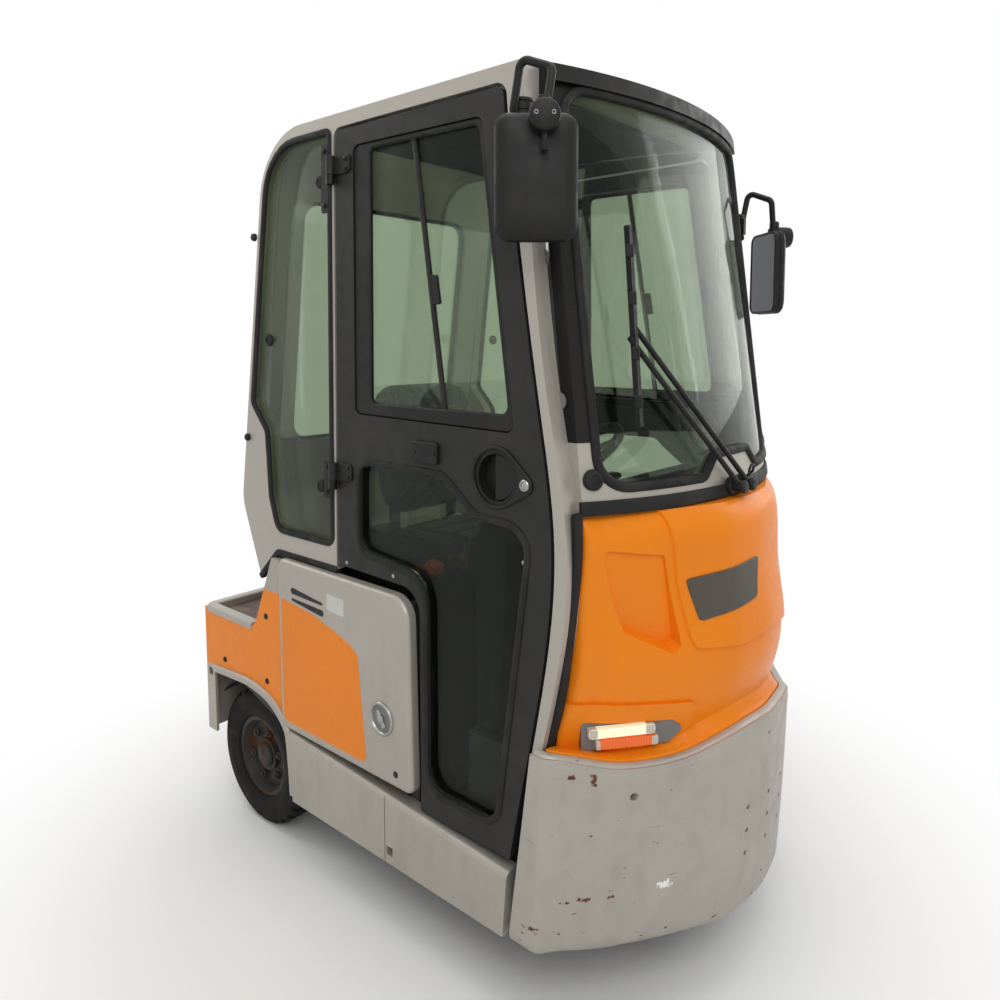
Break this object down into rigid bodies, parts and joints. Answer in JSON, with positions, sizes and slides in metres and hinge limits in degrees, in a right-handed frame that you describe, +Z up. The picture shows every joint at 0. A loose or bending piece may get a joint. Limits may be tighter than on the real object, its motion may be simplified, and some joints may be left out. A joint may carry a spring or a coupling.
{
  "type": "electric baggage tug with cab",
  "caption": "Compact electric airport baggage tug with a closed glazed cab, hinged side doors, low rear deck, tow hitch, driven rear wheels and a steered front wheel behind a steel apron.",
  "frame": {"origin": "on the ground, under the middle of the overall length and width", "axes": "+X forward, +Y to the vehicle's left, +Z up"},
  "size_m": [1.674, 1.1766, 1.9879],
  "materials": {
    "body_orange": "satin orange paint",
    "body_silver": "silver grey metallic paint, worn",
    "door_charcoal": "fine-textured charcoal powder coat",
    "tinted_glass": "green tinted safety glass",
    "black_plastic": "grained black plastic",
    "seat_cloth": "dark woven seat cloth",
    "frame_black": "black chassis paint",
    "wheel_rim": "dark paint with rust",
    "tyre_rubber": "black tyre rubber",
    "deck_board": "brown coated deck board",
    "lamp_grey": "grey moulded plastic",
    "lamp_clear": "clear lamp lens",
    "lamp_amber": "amber lamp lens",
    "lamp_red": "red lens and button"
  },
  "bodies": {
    "chassis": {"bonnet": "body_orange", "rear_panel_right": "body_orange", "rear_panel_left": "body_orange", "rear_fascia": "body_orange", "front_apron": "body_silver", "sill_right": "body_silver", "sill_left": "body_silver", "battery_cover_right": "body_silver", "battery_cover_left": "body_silver", "rear_skirt": "body_silver", "cab_side_right": "body_silver", "cab_side_left": "body_silver", "cab_roof": "body_silver", "cab_rear_frame": "body_silver", "cab_front_frame": "body_silver", "windscreen": "tinted_glass", "rear_window": "tinted_glass", "quarter_windows": "tinted_glass", "mirror_right": "black_plastic", "mirror_left": "black_plastic", "wiper": "black_plastic", "dashboard": "black_plastic", "steering_column": "black_plastic", "battery": "black_plastic", "screen_visor": "black_plastic", "battery_hood": "black_plastic", "seat_cushion": "seat_cloth", "seat_back": "seat_cloth", "chassis_frame": "frame_black", "rear_axle": "frame_black", "tow_hitch": "frame_black", "rear_bulkhead": "frame_black", "seat_base": "frame_black", "rear_deck": "deck_board", "lamp_housings": "lamp_grey", "headlamps": "lamp_clear", "indicators": "lamp_amber", "tail_lamps": "lamp_red", "stop_button": "lamp_red"},
    "front_fork": {"steer_fork": "frame_black"},
    "front_wheel": {"front_rim": "wheel_rim", "front_tyre": "tyre_rubber"},
    "rear_wheel_right": {"rear_rim_right": "wheel_rim", "rear_tyre_right": "tyre_rubber"},
    "rear_wheel_left": {"rear_rim_left": "wheel_rim", "rear_tyre_left": "tyre_rubber"},
    "right_door": {"door_right": "door_charcoal", "door_glass_right": "tinted_glass", "door_handle_right": "black_plastic"},
    "left_door": {"door_left": "door_charcoal", "door_glass_left": "tinted_glass", "door_handle_left": "black_plastic"},
    "hand_wheel": {"steering_wheel": "black_plastic"}
  },
  "joints": [
    {"name": "steer", "type": "hinge", "parent": "chassis", "child": "front_fork", "pos_m": [0.549, 0, 0.2], "axis": [0, 0, 1], "range_deg": [-80, 80]},
    {"name": "front_spin", "type": "hinge", "parent": "front_fork", "child": "front_wheel", "pos_m": [0.549, 0, 0.2], "axis": [0, 1, 0], "continuous": true},
    {"name": "rear_spin_right", "type": "hinge", "parent": "chassis", "child": "rear_wheel_right", "pos_m": [-0.537, -0.4, 0.2], "axis": [0, 1, 0], "continuous": true},
    {"name": "rear_spin_left", "type": "hinge", "parent": "chassis", "child": "rear_wheel_left", "pos_m": [-0.537, 0.4, 0.2], "axis": [0, 1, 0], "continuous": true},
    {"name": "door_right_hinge", "type": "hinge", "parent": "chassis", "child": "right_door", "pos_m": [-0.11, -0.4997, 0.00017], "axis": [0, -0.0142, -0.9999], "range_deg": [0, 90]},
    {"name": "door_left_hinge", "type": "hinge", "parent": "chassis", "child": "left_door", "pos_m": [-0.11, 0.4997, 0.00017], "axis": [0, -0.0142, 0.9999], "range_deg": [0, 90]},
    {"name": "hand_wheel_turn", "type": "hinge", "parent": "chassis", "child": "hand_wheel", "pos_m": [0.25987, 0, 1.11193], "axis": [-0.6428, 0, 0.766], "range_deg": [-320, 320]}
  ],
  "couplings": [
    {"joint": "hand_wheel_turn", "follows": "steer", "ratio": 4}
  ]
}
